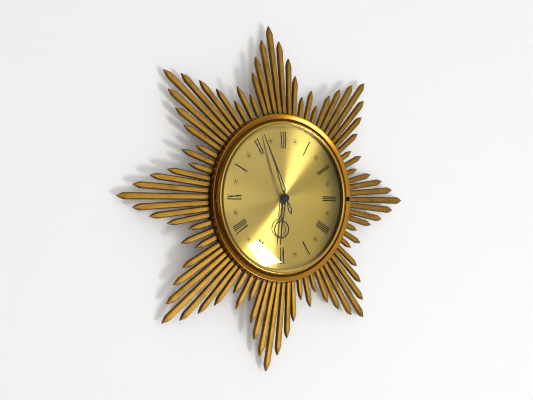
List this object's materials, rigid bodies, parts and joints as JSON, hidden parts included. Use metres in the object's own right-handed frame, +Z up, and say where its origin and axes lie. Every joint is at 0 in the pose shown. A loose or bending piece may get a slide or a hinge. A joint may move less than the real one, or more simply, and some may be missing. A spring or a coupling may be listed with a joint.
{
  "type": "sunburst wall clock",
  "caption": "Round wall clock with a domed glass in a gilt bezel and a star of tapered metal rays; hinged glass, linked hands, hand-setting knob and battery movement.",
  "frame": {"origin": "centre of the flat back of the case, where it meets the wall, on the axis of the hands", "axes": "+Y into the wall (the dial faces -Y), +X to the right of a person reading the dial, +Z up"},
  "size_m": [0.45, 0.059, 0.45],
  "materials": {
    "patinated_brass": "matte patinated brass, darker at the edges",
    "gold_metal": "circular-brushed gilt metal",
    "bright_gold": "polished gilt metal",
    "dial_brass": "circular-brushed brass, lacquered",
    "black_enamel": "black enamel",
    "crystal_glass": "clear polished glass",
    "seal_rubber": "black rubber",
    "steel": "bright zinc-plated steel",
    "case_paint": "brown bronze paint",
    "wheel_brass": "bright machined brass",
    "black_plastic": "moulded, fine grain",
    "nylon": "natural nylon",
    "copper_wire": "enamelled copper winding",
    "circuit_laminate": "brown paper laminate",
    "battery_jacket": "plain printed steel jacket"
  },
  "bodies": {
    "case": {"case_cup": "case_paint", "ray_carrier_ring": "steel", "outer_bezel": "gold_metal", "hinge_pin": "steel", "back_cover": "black_plastic", "hanger_plate": "steel", "dial_plate": "dial_brass", "dial_ring": "gold_metal", "movement_mount": "steel", "movement_front_plate": "wheel_brass", "movement_back_plate": "wheel_brass", "hairspring": "steel", "drive_coil": "copper_wire", "circuit_board": "circuit_laminate", "battery_tray": "black_plastic", "battery": "battery_jacket", "contact_positive": "steel", "contact_negative": "steel", "ray_fan_1": "patinated_brass", "ray_fan_2": "patinated_brass", "ray_fan_3": "patinated_brass", "ray_fan_4": "patinated_brass", "ray_fan_5": "patinated_brass", "ray_fan_6": "patinated_brass", "ray_fan_7": "patinated_brass", "ray_fan_8": "patinated_brass", "ray_trio_1": "patinated_brass", "ray_trio_2": "patinated_brass", "ray_trio_3": "patinated_brass", "ray_trio_4": "patinated_brass", "ray_trio_5": "patinated_brass", "ray_trio_6": "patinated_brass", "ray_trio_7": "patinated_brass", "ray_trio_8": "patinated_brass", "bezel_screw_1": "steel", "bezel_screw_2": "steel", "bezel_screw_3": "steel", "bezel_screw_4": "steel", "cover_screw_1": "steel", "cover_screw_2": "steel", "cover_screw_3": "steel"},
    "glass_door": {"glass_ring": "bright_gold", "crystal": "crystal_glass", "crystal_seal": "seal_rubber"},
    "minute_hand": {"minute_hand": "black_enamel", "hand_nut": "black_enamel", "cannon_pinion": "steel", "centre_wheel": "wheel_brass"},
    "hour_hand": {"hour_hand": "black_enamel", "hour_wheel": "wheel_brass"},
    "minute_wheel": {"minute_wheel": "wheel_brass"},
    "setting_knob": {"setting_knob": "black_plastic"},
    "third_wheel": {"third_wheel": "wheel_brass"},
    "index_wheel": {"index_wheel": "nylon"},
    "balance": {"balance_wheel": "wheel_brass"},
    "regulator": {"regulator_lever": "steel"},
    "battery_door": {"battery_door": "black_plastic"}
  },
  "joints": [
    {"name": "glass_ring_hinge", "type": "hinge", "parent": "case", "child": "glass_door", "pos_m": [-0.1029, -0.0461, 0], "axis": [0, 0, -1], "range_deg": [0, 105]},
    {"name": "minute_hand_turn", "type": "hinge", "parent": "case", "child": "minute_hand", "pos_m": [0, 0, 0], "axis": [0, 1, 0], "continuous": true},
    {"name": "hour_hand_turn", "type": "hinge", "parent": "case", "child": "hour_hand", "pos_m": [0, 0, 0], "axis": [0, 1, 0], "continuous": true},
    {"name": "minute_wheel_turn", "type": "hinge", "parent": "case", "child": "minute_wheel", "pos_m": [-0.01152, 0, -0.01536], "axis": [0, 1, 0], "continuous": true},
    {"name": "setting_knob_turn", "type": "hinge", "parent": "case", "child": "setting_knob", "pos_m": [-0.03072, 0, -0.01536], "axis": [0, 1, 0], "continuous": true},
    {"name": "third_wheel_turn", "type": "hinge", "parent": "case", "child": "third_wheel", "pos_m": [0.0192, 0, 0.0144], "axis": [0, 1, 0], "continuous": true},
    {"name": "index_wheel_turn", "type": "hinge", "parent": "case", "child": "index_wheel", "pos_m": [0.0192, 0, 0.0342], "axis": [0, 1, 0], "continuous": true},
    {"name": "balance_swing", "type": "hinge", "parent": "case", "child": "balance", "pos_m": [0.0032, 0, 0.0342], "axis": [0, 1, 0], "range_deg": [-150, 150], "stiffness_Nm_per_rad": 0.00015},
    {"name": "regulator_lever_turn", "type": "hinge", "parent": "case", "child": "regulator", "pos_m": [0.0032, 0, 0.0342], "axis": [0, 1, 0], "range_deg": [-20, 20]},
    {"name": "battery_door_hinge", "type": "hinge", "parent": "case", "child": "battery_door", "pos_m": [0, -0.0006, -0.0422], "axis": [1, 0, 0], "range_deg": [0, 110]}
  ],
  "couplings": [
    {"joint": "hour_hand_turn", "follows": "minute_hand_turn", "ratio": 0.083333},
    {"joint": "minute_wheel_turn", "follows": "minute_hand_turn", "ratio": -0.33333},
    {"joint": "setting_knob_turn", "follows": "minute_hand_turn", "ratio": 1},
    {"joint": "third_wheel_turn", "follows": "minute_hand_turn", "ratio": -9},
    {"joint": "index_wheel_turn", "follows": "minute_hand_turn", "ratio": 90}
  ]
}
